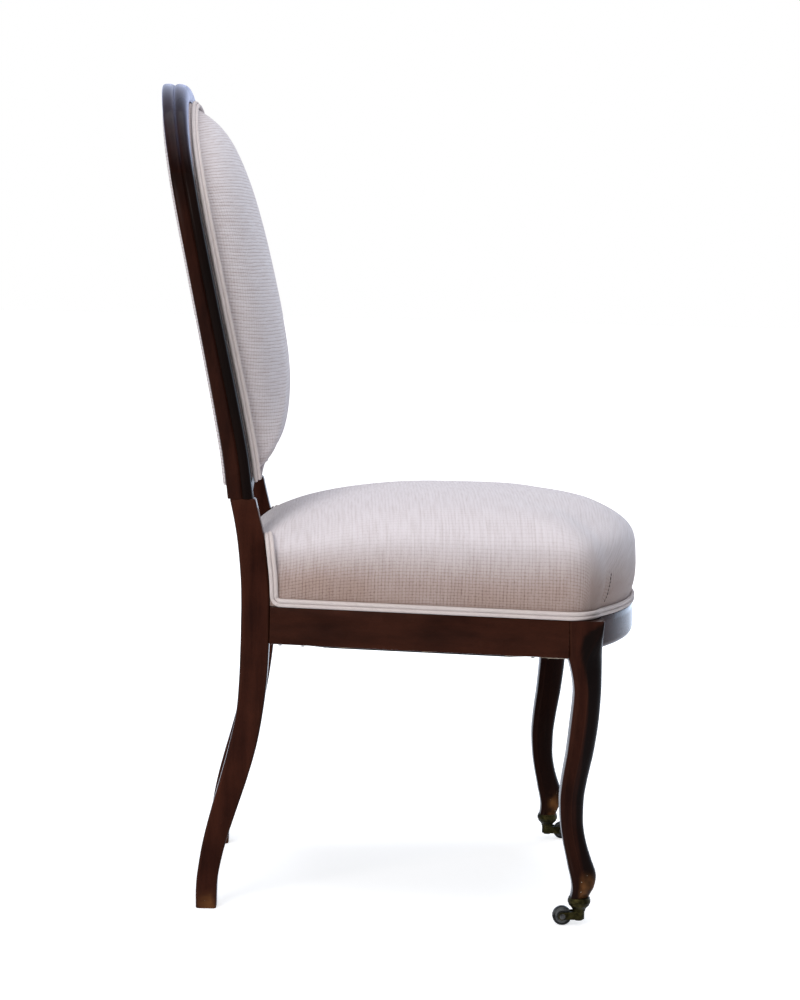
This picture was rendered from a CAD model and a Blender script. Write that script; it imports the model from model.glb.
# Balloon back dining chair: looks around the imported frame, in metres, front towards -Y
import math
import bpy
import bmesh
import numpy as np
from mathutils import Matrix, Vector


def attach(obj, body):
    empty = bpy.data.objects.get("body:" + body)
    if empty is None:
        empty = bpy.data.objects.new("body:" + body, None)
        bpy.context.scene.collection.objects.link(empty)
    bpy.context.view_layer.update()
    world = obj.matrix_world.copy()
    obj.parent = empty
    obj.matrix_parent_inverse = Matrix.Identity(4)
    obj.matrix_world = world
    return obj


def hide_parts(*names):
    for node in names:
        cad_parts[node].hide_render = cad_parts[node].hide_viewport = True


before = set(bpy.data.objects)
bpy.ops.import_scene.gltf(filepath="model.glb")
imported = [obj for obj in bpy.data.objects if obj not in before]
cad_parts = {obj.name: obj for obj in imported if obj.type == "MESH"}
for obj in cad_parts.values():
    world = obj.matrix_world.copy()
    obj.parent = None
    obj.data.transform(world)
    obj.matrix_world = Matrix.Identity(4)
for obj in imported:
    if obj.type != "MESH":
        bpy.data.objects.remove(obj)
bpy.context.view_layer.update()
print("frame loaded,", len(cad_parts), "nodes")

mm = 0.001
wearFrom, wearFull = 0.15, 1.2  # turn over an edge in radians, where wear starts and where it is complete
scene = bpy.context.scene

# the chair's own sizes, in millimetres, as in the part
chair = {
    "height": 948, "railTop": 351, "railHeight": 42.5, "frontRailHeight": 38, "shoulder": 473,
    "frontWidth": 470, "backWidth": 344, "frontY": 228, "backY": 181.5, "bow": 56, "railDepth": 24,
    "postWidth": 36, "postDepth": 33, "splay": 45.5, "spread": 8, "shoulderDepth": 29.5,
    "shoulderLean": 15.5, "shoulderSet": 2.2, "balloonWidth": 430, "waistWidth": 330, "archHeight": 180,
    "archFullness": 2.3, "backLean": 82.5, "frameWidth": 30, "legWidth": 42, "legDepth": 40,
    "gap": 0.3,
}


def mix(a, b, s):
    return a + (b - a) * s


def smooth(s):
    q = np.clip(s, 0, 1)
    return q * q * (3 - 2 * q)


def through(rows, h, column=1):  # smooth curve through a table's rows, first column is the place
    i = 0
    while i < len(rows) - 2 and h > rows[i + 1][0]:
        i += 1

    def slope(k):
        a, b = max(0, k - 1), min(len(rows) - 1, k + 1)
        return (rows[b][column] - rows[a][column]) / (rows[b][0] - rows[a][0])
    d = rows[i + 1][0] - rows[i][0]
    s = min(1, max(0, (h - rows[i][0]) / d))
    a, b, m, n = rows[i][column], rows[i + 1][column], slope(i) * d, slope(i + 1) * d
    return a + s * m + s * s * (3 * (b - a) - 2 * m - n) + s ** 3 * (m + n - 2 * (b - a))


def unit(v):  # one vector, or each row of a table
    v = np.asarray(v, float)
    return v / np.linalg.norm(v, axis=-1, keepdims=True)


def softLine(points, per):  # Catmull-Rom line through points, per steps each
    p = np.asarray(points, float)
    out = []
    for i in range(len(p) - 1):
        a, b, c, d = (p[min(len(p) - 1, max(0, k))] for k in (i - 1, i, i + 1, i + 2))
        for s in np.arange(per) / per:
            out.append(0.5 * (2 * b + (c - a) * s + (2 * a - 5 * b + 4 * c - d) * s * s
                              + (3 * b - a - 3 * c + d) * s ** 3))
    return np.array(out + [p[-1]])


def evenly(points, count, closed=True, along=None):  # even spacing by the first columns, the rest carried along
    p = np.asarray(points, float)
    if closed:
        p = np.vstack([p, p[:1]])
    lengths = np.concatenate([[0], np.cumsum(np.linalg.norm(np.diff(p[:, :along], axis=0), axis=1))])
    at = np.linspace(0, lengths[-1], count, endpoint=not closed)
    return np.stack([np.interp(at, lengths, p[:, k]) for k in range(p.shape[1])], axis=1)


# meshes

def finishMesh(mesh, angle=35, capped=False):  # normals outwards, creases sharper than angle stay sharp
    bm = bmesh.new()
    bm.from_mesh(mesh)
    bmesh.ops.remove_doubles(bm, verts=bm.verts, dist=0.000002)
    bmesh.ops.recalc_face_normals(bm, faces=bm.faces)
    wear = bm.verts.layers.float.get("wear") or bm.verts.layers.float.new("wear")
    for face in bm.faces:
        face.smooth = True
    for edge in bm.edges:
        turn = edge.calc_face_angle_signed(0.0) if len(edge.link_faces) == 2 else 0.0
        edge.smooth = abs(turn) < math.radians(angle)
        if turn > wearFrom and not (capped and any(len(face.verts) == 3 for face in edge.link_faces)):
            for vert in edge.verts:
                vert[wear] = max(vert[wear], min(1.0, turn / wearFull))
    bm.to_mesh(mesh)
    bm.free()
    return mesh


def addObject(name, data):
    made = bpy.data.objects.new(name, data)
    scene.collection.objects.link(made)
    return made


def addPiece(name, mesh, material, body="frame", replaced=()):
    piece = addObject(name, mesh)
    mesh.materials.clear()
    mesh.materials.append(material)
    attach(piece, body)
    if replaced:
        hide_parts(*replaced)
    return piece


def storeValue(mesh, name, values):  # one number a point, for the shaders
    mesh.attributes.new(name, "FLOAT", "POINT").data.foreach_set("value", np.asarray(values, float))


def loftMesh(name, rings, uv=None, angle=35, shade=None):  # closed rings in mm, uv in mm with one extra column
    rings = np.asarray(rings, float)
    m, n = rings.shape[:2]
    verts = np.vstack([rings.reshape(-1, 3), rings[0].mean(0), rings[-1].mean(0)]) * mm
    loops = [((j, i), (j, i + 1), (j + 1, i + 1), (j + 1, i)) for j in range(m - 1) for i in range(n)]
    loops += [((j, i), (j, i + 1), (j, -1)) for j in (0, m - 1) for i in range(n)]
    middles = {0: m * n, m - 1: m * n + 1}
    faces = [[middles[j] if i < 0 else j * n + i % n for j, i in loop] for loop in loops]
    mesh = bpy.data.meshes.new(name)
    mesh.from_pydata(verts.tolist(), [], faces)
    if uv is not None:
        uv = np.asarray(uv, float) * mm
        flat = [c for loop in loops for j, i in loop for c in (uv[j, :-1].mean(0) if i < 0 else uv[j, i])]
        mesh.uv_layers.new(name="weave").data.foreach_set("uv", flat)
    if shade is not None:
        dark = np.broadcast_to(np.asarray(shade, float), (m, n))
        storeValue(mesh, "shade", np.concatenate([dark.ravel(), [dark[0].mean(), dark[-1].mean()]]))
    return finishMesh(mesh, angle, capped=True)


def joinMeshes(name, meshes):
    bm = bmesh.new()
    for mesh in meshes:
        bm.from_mesh(mesh)
        bpy.data.meshes.remove(mesh)
    joined = bpy.data.meshes.new(name)
    bm.to_mesh(joined)
    bm.free()
    return joined


def mirrored(mesh, name):
    copy = mesh.copy()
    copy.name = name
    copy.transform(Matrix.Diagonal((-1, 1, 1, 1)))
    copy.flip_normals()
    return copy


def bakedMesh(piece):  # a new mesh with the piece's modifiers applied
    return bpy.data.meshes.new_from_object(piece.evaluated_get(bpy.context.evaluated_depsgraph_get()))


def meshPoints(mesh):
    flat = np.empty(len(mesh.vertices) * 3)
    mesh.vertices.foreach_get("co", flat)
    return flat.reshape(-1, 3) / mm


def setPoints(mesh, points):
    mesh.vertices.foreach_set("co", (points * mm).ravel())
    mesh.update()


# materials

class Wire:  # a node's output that can stand in a sum, as in figure * 0.65 + cloud
    def __init__(self, socket):
        self.socket = socket
        self.tree = socket.id_data

    def beside(self, name):  # another output of the same node
        return Wire(self.socket.node.outputs[name])

    def math(self, operation, *others, clamp=False):
        values = dict(enumerate((self, *others)))
        return addNode(self.tree, "ShaderNodeMath", values, operation=operation, use_clamp=clamp)

    def __add__(self, other):
        return self.math("ADD", other)

    def __sub__(self, other):
        return self.math("SUBTRACT", other)

    def __rsub__(self, other):
        return addNode(self.tree, "ShaderNodeMath", {0: other, 1: self}, operation="SUBTRACT")

    def __mul__(self, other):
        return self.math("MULTIPLY", other)

    def __truediv__(self, other):
        return self.math("DIVIDE", other)

    def __pow__(self, other):
        return self.math("POWER", other)

    def noise(self, scale, detail=3.0, roughness=0.5):
        values = {"Vector": self, "Scale": scale, "Detail": detail, "Roughness": roughness}
        return addNode(self.tree, "ShaderNodeTexNoise", values)

    def scaled(self, x, y, z):
        return addNode(self.tree, "ShaderNodeMapping", {"Vector": self, "Scale": (x, y, z)})

    def ranged(self, low, high, toLow=0.0, toHigh=1.0):
        values = {"Value": self, "From Min": low, "From Max": high, "To Min": toLow, "To Max": toHigh}
        return addNode(self.tree, "ShaderNodeMapRange", values)

    def mixed(self, a, b, blend="MIX"):  # this wire is b's share
        return addNode(self.tree, "ShaderNodeMix", {0: self, 6: a, 7: b}, 2, data_type="RGBA", blend_type=blend)

    def bump(self, strength, distance):
        values = {"Height": self, "Strength": strength, "Distance": distance}
        return addNode(self.tree, "ShaderNodeBump", values)


def feed(node, values):  # by socket: a wire is linked, anything else is set
    for key, value in values.items():
        if isinstance(value, Wire):
            node.id_data.links.new(value.socket, node.inputs[key])
        else:
            node.inputs[key].default_value = value


def addNode(tree, kind, values={}, out=0, **settings):
    node = tree.nodes.new(kind)
    for key, value in settings.items():
        setattr(node, key, value)
    feed(node, values)
    return Wire(node.outputs[out])


def newGroup(name, kind, inputs, outputs):  # sockets by label, with a first value or the name of their kind
    tree = bpy.data.node_groups.new(name, kind)
    kinds = {float: "Float", int: "Int", 4: "Color", 3: "Vector"}
    for way, labels in (("INPUT", inputs), ("OUTPUT", outputs)):
        for label, value in labels.items():
            held = value if isinstance(value, str) else kinds.get(type(value)) or kinds[len(value)]
            socket = tree.interface.new_socket(name=label, in_out=way, socket_type="NodeSocket" + held)
            if not isinstance(value, str):
                socket.default_value = value
    into, out = tree.nodes.new("NodeGroupInput"), tree.nodes.new("NodeGroupOutput")
    return tree, {label: Wire(into.outputs[label]) for label in inputs}, out


def placeGroup(tree, group, values):
    first = addNode(tree, "ShaderNodeGroup", values, node_tree=group)
    return {socket.name: Wire(socket) for socket in first.socket.node.outputs}


def grainGroup():  # figured wood: Coordinates are stretched along the grain, Plain ones are not
    tree, into, out = newGroup("woodGrain", "ShaderNodeTree", {
        "Coordinates": "Vector", "Plain": "Vector", "Dark": (0.01, 0.004, 0.002, 1),
        "Light": (0.08, 0.03, 0.015, 1), "Worn": (0.3, 0.12, 0.04, 1), "Wear": 0.0, "Shade": 0.0},
        {"Colour": "Color", "Roughness": "Float", "Height": "Float"})
    place, plain = into["Coordinates"], into["Plain"]
    figure = place.noise(9, 4, 0.6)
    pores = place.scaled(14, 14, 14).noise(16, 2, 0.7).ranged(0.5, 0.72)
    cloud = plain.noise(16)
    colour = (figure * 0.65 + cloud * 0.5).ranged(0.36, 0.78).mixed(into["Dark"], into["Light"])
    colour = (pores * 0.35).mixed(colour, into["Dark"])
    colour = (into["Shade"] * 0.9).mixed(colour, (0.0035, 0.0026, 0.0022, 1))
    worn = plain.noise(60, 2).ranged(0.3, 0.6).math("MULTIPLY", into["Wear"], clamp=True)
    colour = (worn * 0.7).mixed(colour, into["Worn"])
    nicks = plain.noise(330, 1, 0.4).ranged(0.77, 0.79) * into["Wear"].ranged(0.02, 0.2)
    feed(out, {"Colour": nicks.mixed(colour, (0.34, 0.3, 0.24, 1)),
               "Roughness": cloud.ranged(0.3, 0.7, 0.2, 0.34) + worn * 0.3, "Height": figure * 0.4 - pores})
    return tree


def weaveGroup():  # basket weave in the plane of Coordinates, one unit is one cell of two threads
    tree, into, out = newGroup("basketWeave", "ShaderNodeTree", {
        "Coordinates": "Vector", "Pale": (0.7, 0.6, 0.56, 1), "Deep": (0.4, 0.32, 0.28, 1), "Columns": 1.0,
        "Soil": 0.0, "Contrast": 0.75}, {"Colour": "Color", "Height": "Float"})
    place = into["Coordinates"]
    drift = place.noise(0.22, 2) * 0.4
    arch, thread, count = [], [], []
    for axis in (0, 1):
        across = addNode(tree, "ShaderNodeSeparateXYZ", {0: place}, axis) + drift
        arch.append((across * math.pi).math("SINE").math("ABSOLUTE") ** 0.45)
        fine = (across * (2 * math.pi)).math("SINE").math("ABSOLUTE") ** 0.6
        thread.append(fine.math("MULTIPLY_ADD", 0.22, 0.78))
        count.append(across.math("FLOOR"))
    arch[0] = arch[0].math("MAXIMUM", 1.0 - into["Columns"])
    odd = (count[0] + count[1]).math("PINGPONG", 1.0)
    height = arch[0] * arch[1] * (thread[0] + odd * (thread[1] - thread[0]))
    gap = height.ranged(0.2, 0.72, 1.0, 0.0) * place.noise(1.6, 2).ranged(0.36, 0.6, 0.3, 1.0)
    slubs = place.scaled(0.12, 1.3, 1).noise(1.0).ranged(0.35, 0.7, -0.08, 0.2)
    fibres = place.noise(5, 3, 0.7).ranged(0.3, 0.7, -0.08, 0.08)
    shade = (gap * into["Contrast"] + slubs).math("ADD", fibres, clamp=True)
    soiled = into["Soil"] * place.scaled(0.02, 0.02, 0.02).noise(1.4).ranged(0.25, 0.75, 0.6, 1.0)
    colour = soiled.mixed(shade.mixed(into["Pale"], into["Deep"]), (0.56, 0.42, 0.33, 1), "MULTIPLY")
    feed(out, {"Colour": colour, "Height": height})
    return tree


def patinaGroup():  # brown tarnish in blotches, bare metal where the noise is low
    tree, into, out = newGroup("patina", "ShaderNodeTree", {
        "Coordinates": "Vector", "Bright": (0.5, 0.4, 0.2, 1), "Tarnish": (0.12, 0.09, 0.05, 1), "Amount": 0.5},
        {"Colour": "Color", "Roughness": "Float", "Height": "Float"})
    speck = into["Coordinates"].noise(900, 2)
    blotch = into["Coordinates"].noise(120, 4, 0.65).ranged(0.35, 0.65)
    mask = blotch.math("ADD", into["Amount"] - 0.5, clamp=True)
    feed(out, {"Colour": mask.mixed(into["Bright"], into["Tarnish"]),
               "Roughness": mask * 0.28 + speck.ranged(0.3, 0.7, 0.25, 0.4), "Height": mask + speck})
    return tree


woodGrain, basketWeave, patina = grainGroup(), weaveGroup(), patinaGroup()


def newMaterial(name):
    material = bpy.data.materials.new(name)
    material.use_nodes = True
    return material, material.node_tree, material.node_tree.nodes["Principled BSDF"]


def objectPlace(tree, x=1, y=1, z=1):
    return addNode(tree, "ShaderNodeTexCoord", out="Object").scaled(x, y, z)


def grainPlace(tree, grain, wood):  # object coordinates, drawn out along the grain's axis
    return objectPlace(tree, *(wood["scale"] * (wood["grainSquash"] if axis == grain else 1) for axis in "XYZ"))


def attribute(tree, name):
    return addNode(tree, "ShaderNodeAttribute", out="Fac", attribute_name=name)


polish = {
    "dark": (0.013, 0.0036, 0.0023), "light": (0.054, 0.0155, 0.0088), "worn": (0.21, 0.088, 0.03, 1),
    "edge": (0.09, 0.034, 0.019, 1), "edgeShare": 0.35, "specular": 0.02, "coat": 0.55, "coatRoughness": 0.11,
    "darkCoat": 0.85, "scale": 7.0, "grainSquash": 0.09, "bloom": (0.5, 0.56, 0.85, 1), "bloomRoughness": 0.35,
}


def polishedWood(name, grain, dim=1.0, gloss=1.0, bloom=0.0):  # french polish: the coat shows at grazing angles
    material, tree, shader = newMaterial(name)
    dark, light = ((*(c * dim for c in polish[key]), 1) for key in ("dark", "light"))
    wood = placeGroup(tree, woodGrain, {
        "Coordinates": grainPlace(tree, grain, polish), "Plain": objectPlace(tree), "Dark": dark,
        "Light": light, "Worn": polish["worn"], "Wear": attribute(tree, "toe"),
        "Shade": attribute(tree, "shade")})
    dull = attribute(tree, "shade").math("MULTIPLY_ADD", -polish["darkCoat"], 1.0)
    edge = (attribute(tree, "wear") * polish["edgeShare"]).math("MULTIPLY", dull, clamp=True)
    grazing = addNode(tree, "ShaderNodeLayerWeight", {"Blend": 0.5}, "Facing") ** 3.0 * dull
    feed(shader, {
        "Base Color": edge.mixed(wood["Colour"], polish["edge"]), "Roughness": wood["Roughness"],
        "Specular IOR Level": polish["specular"], "Coat Roughness": polish["coatRoughness"],
        "Coat Weight": grazing.math("MULTIPLY", polish["coat"] * gloss, clamp=True),
        "Sheen Weight": attribute(tree, "bloom") * bloom, "Sheen Roughness": polish["bloomRoughness"],
        "Sheen Tint": polish["bloom"], "Normal": wood["Height"].bump(0.06, 0.0003)})
    return material


timber = {
    "dark": (0.16, 0.09, 0.045, 1), "light": (0.42, 0.27, 0.15, 1), "roughness": 0.6, "scale": 9.0,
    "grainSquash": 0.08,
}


def rawWood(name, grain):
    material, tree, shader = newMaterial(name)
    wood = placeGroup(tree, woodGrain, {
        "Coordinates": grainPlace(tree, grain, timber), "Plain": objectPlace(tree), "Dark": timber["dark"],
        "Light": timber["light"], "Worn": timber["light"]})
    feed(shader, {"Base Color": wood["Colour"], "Roughness": timber["roughness"],
                  "Normal": wood["Height"].bump(0.15, 0.0006)})
    return material


linen = {
    "cell": 3.9, "pale": (0.6, 0.555, 0.58, 1), "deep": (0.27, 0.205, 0.19, 1), "roughness": 0.85,
    "sheen": 0.2, "bump": 0.45, "depth": 0.0008, "contrast": (0.22, 0.8),
}


def wovenCloth(name, soil=False, columns=1.0, **own):  # own values stand in for the linen's
    material, tree, shader = newMaterial(name)
    look = {**linen, **own}
    size = 1000 / look["cell"]
    cloth = placeGroup(tree, basketWeave, {
        "Coordinates": addNode(tree, "ShaderNodeUVMap", uv_map="weave").scaled(size, size, size),
        "Pale": look["pale"], "Deep": look["deep"], "Columns": columns,
        "Soil": attribute(tree, "soil") if soil else 0.0,
        "Contrast": attribute(tree, "soil").ranged(0.0, 1.0, *look["contrast"]) if soil else 0.75})
    feed(shader, {
        "Base Color": cloth["Colour"], "Roughness": look["roughness"], "Specular IOR Level": 0.2,
        "Sheen Weight": look["sheen"], "Sheen Roughness": 0.5,
        "Normal": cloth["Height"].bump(look["bump"], look["depth"])})
    return material


def agedMetal(name, bright, tarnish, amount, metallic=1.0):
    material, tree, shader = newMaterial(name)
    metal = placeGroup(tree, patina, {
        "Coordinates": objectPlace(tree), "Bright": (*bright, 1), "Tarnish": (*tarnish, 1), "Amount": amount})
    feed(shader, {"Base Color": metal["Colour"], "Roughness": metal["Roughness"], "Metallic": metallic,
                  "Normal": metal["Height"].bump(0.12, 0.0003)})
    return material


mahoganyUpright = polishedWood("mahoganyUpright", "Z", dim=0.92)
mahoganyAcross = polishedWood("mahoganyAcross", "X", dim=0.7, gloss=0.7)
mahoganyCrest = polishedWood("mahoganyCrest", "X", dim=0.35, gloss=1.9, bloom=1.0)
mahoganyDeep = polishedWood("mahoganyDeep", "Y", dim=0.7)
beechAcross = rawWood("beechAcross", "X")
coverCloth = wovenCloth("coverCloth", True)
backCloth = wovenCloth("backCloth", True, 0.3, pale=(0.64, 0.595, 0.615, 1), deep=(0.31, 0.215, 0.195, 1),
                       contrast=(0.72, 1.25))
cordCloth = wovenCloth("cordCloth", pale=(0.66, 0.59, 0.58, 1), deep=(0.4, 0.33, 0.31, 1), cell=2.6, bump=0.5)
hessian = wovenCloth("hessian", pale=(0.42, 0.31, 0.18, 1), deep=(0.2, 0.14, 0.08, 1), cell=2.6, sheen=0.0)
blackCloth = wovenCloth("blackCloth", pale=(0.02, 0.019, 0.018, 1), deep=(0.006, 0.006, 0.006, 1), cell=1.6,
                        bump=0.25, sheen=0.1)
agedBrass = agedMetal("agedBrass", (0.042, 0.034, 0.011), (0.009, 0.0075, 0.003), 0.55)
wornWheel = agedMetal("wornWheel", (0.09, 0.088, 0.08), (0.022, 0.021, 0.019), 0.5)
dullSteel = agedMetal("dullSteel", (0.11, 0.105, 0.1), (0.03, 0.028, 0.025), 0.5)
juteThread = agedMetal("juteThread", (0.5, 0.42, 0.31), (0.26, 0.2, 0.14), 0.4, metallic=0.0)
darkThread = agedMetal("darkThread", (0.16, 0.12, 0.1), (0.07, 0.05, 0.04), 0.5, metallic=0.0)
springWire = agedMetal("springWire", (0.4, 0.36, 0.33), (0.17, 0.11, 0.08), 0.6)
print("materials built")

# outline of the back, the same rule as in the part

widestZ = chair["height"] - chair["archHeight"]
sideHeight = widestZ - chair["shoulder"]
leanShares = [(0, 0), (0.1, 0.077), (0.2, 0.186), (0.3, 0.303), (0.5, 0.546), (0.7, 0.79), (0.85, 0.955),
              (1, 1.07)]
footFaceY = chair["backY"] + chair["shoulderLean"] - chair["shoulderDepth"] + chair["shoulderSet"]


def outline(t):  # 0 at the left shoulder, 1 at the widest place, 2 at the top, 4 at the right shoulder
    if t > 2:
        return outline(4 - t) * [-1, 1]
    if t <= 1:
        wide = mix(chair["waistWidth"], chair["balloonWidth"], (1 - math.cos(math.pi * t)) / 2)
        return np.array([wide / 2, chair["shoulder"] + t * sideHeight])
    a, power = math.pi / 2 * (t - 1), 2 / chair["archFullness"]
    return np.array([chair["balloonWidth"] / 2 * max(0, math.cos(a)) ** power,
                     widestZ + chair["archHeight"] * math.sin(a) ** power])


def inset(t, d):  # the outline moved in by d
    run = unit(outline(t + 0.01) - outline(t - 0.01))
    return outline(t) - d * np.array([run[1], -run[0]])


def faceY(z):
    share = (z - chair["shoulder"]) / (chair["height"] - chair["shoulder"])
    return footFaceY + chair["backLean"] * through(leanShares, share)


# moulded frame of the back

moulding = {
    "footDepth": 29.5, "depth": 26.5, "crestDepth": 31, "groove": 13, "crestGroove": 17.5, "rebate": 9,
    "rebateShare": 0.33, "joint": 1.22,
    "rearBead": [(0.9, 1), (0.955, 0.95), (0.99, 0.78), (1, 0.5), (0.985, 0.22), (0.945, 0.06), (0.915, 0)],
    "frontBead": [(0.925, 0.97), (0.965, 0.9), (0.997, 0.74), (0.995, 0.55), (0.965, 0.34), (0.9, 0.16),
                  (0.8, 0.06), (0.66, 0.005), (0.5, 0.01), (0.4, 0.06)],
}


def frameDepth(z):
    return mix(moulding["footDepth"], moulding["depth"], smooth((z - chair["shoulder"]) / sideHeight))


def crestShare(t):
    return float(smooth((min(t, 4 - t) - moulding["joint"]) / (2 - moulding["joint"])))


# darkening along the section: flat back and rear bead, then front bead and rebate
mouldingShade = np.array([0.38] * 24 + [0.42, 0.78] + [1.0] * 29)


def mouldingSection(bed, depth, groove):
    rear, front = softLine(moulding["rearBead"], 3), softLine(moulding["frontBead"], 3)
    rear[:, 1] = mix(groove, depth, rear[:, 1])
    front[:, 1] *= groove
    flat = [(0, bed), (0.3, bed), (0.5, bed), (0.56, depth), (0.8, depth)]
    lip, rebate = moulding["rebateShare"], moulding["rebate"]
    return np.vstack([flat, rear, front, [(lip, groove * 0.12), (lip, rebate), (0, rebate)]])


def frameRing(t):
    s, bed = crestShare(t), frameDepth(outline(t)[1])
    depth, groove = mix(bed, moulding["crestDepth"], s), mix(moulding["groove"], moulding["crestGroove"], s)
    ring = []
    for share, y in mouldingSection(bed, depth, groove):
        x, z = inset(t, (1 - share) * chair["frameWidth"])
        ring.append((x, faceY(z) + y, z))
    return ring


# posts: splayed leg, block at the seat, leaning neck, then the moulded stile

post = {
    "corner": 0.13, "cornerSteps": 7, "legSteps": 44, "neckSteps": 16, "stileSteps": 54, "ledge": 1.5,
    "leg": [(0, 1, 0.72, 0.72), (0.065, 1.01, 0.74, 0.72), (0.127, 0.985, 0.74, 0.73), (0.25, 0.86, 0.81, 0.77),
            (0.37, 0.67, 0.89, 0.83), (0.49, 0.45, 0.94, 0.88), (0.616, 0.24, 0.96, 0.93),
            (0.736, 0.08, 0.93, 0.97), (0.86, 0.02, 0.97, 1), (1, 0, 1, 1)],
    "neck": [(0, 0, 0), (0.2, 0.05, 0.1), (0.4, 0.18, 0.25), (0.62, 0.39, 0.45), (0.81, 0.66, 0.9), (1, 1, 1)],
    "foot": [(0, 1.2), (0.5, 0.35)], "footTop": 1.5,  # height, drawn in
    "head": [(-0.6, 0.3), (-0.05, 1.0), (1.5, 6.0)],  # height over the shoulder, drawn in
    "toe": (2, 26), "fadeFrom": 0.8, "crestShade": 0.9,
}
railZ = chair["railTop"] - chair["railHeight"]


def legShare(z, column):
    return through(post["leg"], min(z, railZ) / railZ, column)


def neckShare(z):
    return max(0.0, z - chair["railTop"]) / (chair["shoulder"] - chair["railTop"])


def postBack(z):
    lean = chair["shoulderLean"] * through(post["neck"], neckShare(z), 1)
    return chair["backY"] + chair["splay"] * legShare(z, 1) + lean


def postDepthAt(z):
    change = chair["shoulderDepth"] - chair["postDepth"]
    return chair["postDepth"] * legShare(z, 2) + change * through(post["neck"], neckShare(z), 2)


def postWidthAt(z):
    change = chair["frameWidth"] - post["ledge"] - chair["postWidth"]
    return chair["postWidth"] * legShare(z, 3) + change * smooth(neckShare(z))


def postOuter(z):
    inner = chair["postWidth"] * (1 - legShare(z, 3)) / 2
    waist = ((chair["waistWidth"] - chair["backWidth"]) / 2 - post["ledge"] / 2) * smooth(neckShare(z))
    return chair["backWidth"] / 2 - inner + chair["spread"] * legShare(z, 1) + waist


def postFront(z):
    return postBack(z) - postDepthAt(z)


def postRing(z, shrink=0.0):
    outer, wide = postOuter(z) - shrink, postWidthAt(z) - 2 * shrink
    front, deep = postFront(z) + shrink, postDepthAt(z) - 2 * shrink
    r = post["corner"]
    ring = []
    for corner in range(4):
        u = r if corner in (0, 3) else 1 - r
        v = 1 - r if corner < 2 else r
        for k in range(post["cornerSteps"]):
            a = math.radians(180 - 90 * corner - 90 * k / (post["cornerSteps"] - 1))
            ring.append((outer - (1 - u - r * math.cos(a)) * wide, front + (v + r * math.sin(a)) * deep, z))
    return ring


def markToe(mesh, low, high, front, fade=8):  # wear near the floor, in front of a depth
    co = meshPoints(mesh)
    storeValue(mesh, "toe", (1 - smooth((co[:, 2] - low) / (high - low))) * smooth((front - co[:, 1]) / fade))


def postMesh():
    top = chair["shoulder"]
    heights = [railZ * i / post["legSteps"] for i in range(post["legSteps"] + 1)]
    heights += [mix(railZ, top - post["ledge"], i / post["neckSteps"]) for i in range(1, post["neckSteps"] + 1)]
    rings = [postRing(*row) for row in post["foot"]] + [postRing(max(z, post["footTop"])) for z in heights]
    rings += [postRing(top + rise, shrink) for rise, shrink in post["head"]]
    lower = loftMesh("lower", rings, angle=40)
    steps = np.arange(post["stileSteps"] + 1) / post["stileSteps"]
    toCrest = smooth((steps[:, None] - post["fadeFrom"]) / (1 - post["fadeFrom"]))
    shade = mix(mouldingShade, post["crestShade"], toCrest * post["crestShade"])
    upper = loftMesh("upper", [frameRing(moulding["joint"] * s) for s in steps], angle=40, shade=shade)
    mesh = joinMeshes("backPost", [lower, upper])
    markToe(mesh, *post["toe"], chair["backY"] + chair["splay"])
    return mesh


def addPair(name, node, mesh):  # the left one as made, the right one mirrored
    for side, data in (("left", mesh), ("right", mirrored(mesh, name + "Right"))):
        addPiece(name + side.capitalize(), data, mahoganyUpright, replaced=[node + side])


addPair("backPost", "back_post_", postMesh())

crest = {"steps": 96, "shade": 0.3, "bloomRise": 38}


def crestMesh():  # the bluish bloom of the old polish fades in above the joints with the posts
    joint, steps = moulding["joint"], crest["steps"]
    rings = [frameRing(mix(joint, 4 - joint, i / steps)) for i in range(steps + 1)]
    mesh = loftMesh("crestRail", rings, angle=40, shade=crest["shade"] * mouldingShade)
    storeValue(mesh, "bloom", smooth((meshPoints(mesh)[:, 2] - outline(joint)[1]) / crest["bloomRise"]))
    return mesh


addPiece("crestRail", crestMesh(), mahoganyCrest, replaced=["crest_rail"])
print("posts and crest lofted")

# lower rail of the back, moulded like the frame and let into the posts

lowRail = {"width": 26, "rise": 8, "steps": 28, "lap": 9, "lapPower": 40}


def lowRise(x):
    return lowRail["rise"] * (1 - (2 * x / chair["waistWidth"]) ** 2)


def lowRailMesh():
    section = mouldingSection(moulding["footDepth"], moulding["footDepth"], moulding["groove"])
    reach = chair["waistWidth"] / 2 - chair["frameWidth"]
    rings = []
    for j in range(lowRail["steps"] + 1):
        s = 2 * j / lowRail["steps"] - 1
        ring = []
        for share, y in section:
            lap = lowRail["lap"] if y < moulding["rebate"] - 0.5 else 0
            x = s * (reach + lap * abs(s) ** lowRail["lapPower"])
            z = chair["shoulder"] + lowRise(s * reach) + (1 - share) * lowRail["width"]
            ring.append((x, faceY(z) + y, z))
        rings.append(ring)
    return loftMesh("lowerBackRail", rings, angle=40, shade=mouldingShade)


addPiece("lowerBackRail", lowRailMesh(), mahoganyAcross, replaced=["lower_back_rail"])

# seat plan

kneeX = chair["frontWidth"] / 2 - chair["legWidth"]
bowRadius = (kneeX ** 2 + chair["bow"] ** 2) / (2 * chair["bow"])
bowY = bowRadius - chair["frontY"] - chair["bow"]
legBackY = chair["legDepth"] - chair["frontY"]
seatPostY = postFront(chair["railTop"])
postInX = chair["backWidth"] / 2 - chair["postWidth"]
seatMidY = (chair["backY"] - chair["frontY"] - chair["bow"]) / 2


def bowAt(x, r):
    return bowY - math.sqrt(r * r - x * x)


def sideX(y):
    return mix(chair["backWidth"] / 2, chair["frontWidth"] / 2, (seatPostY - y) / (seatPostY - legBackY))


# front rail: bowed, with a rolled lower edge

frontRail = {"roll": 9, "rollSteps": 10, "steps": 48, "top": 1.2, "room": 0.05}


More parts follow.
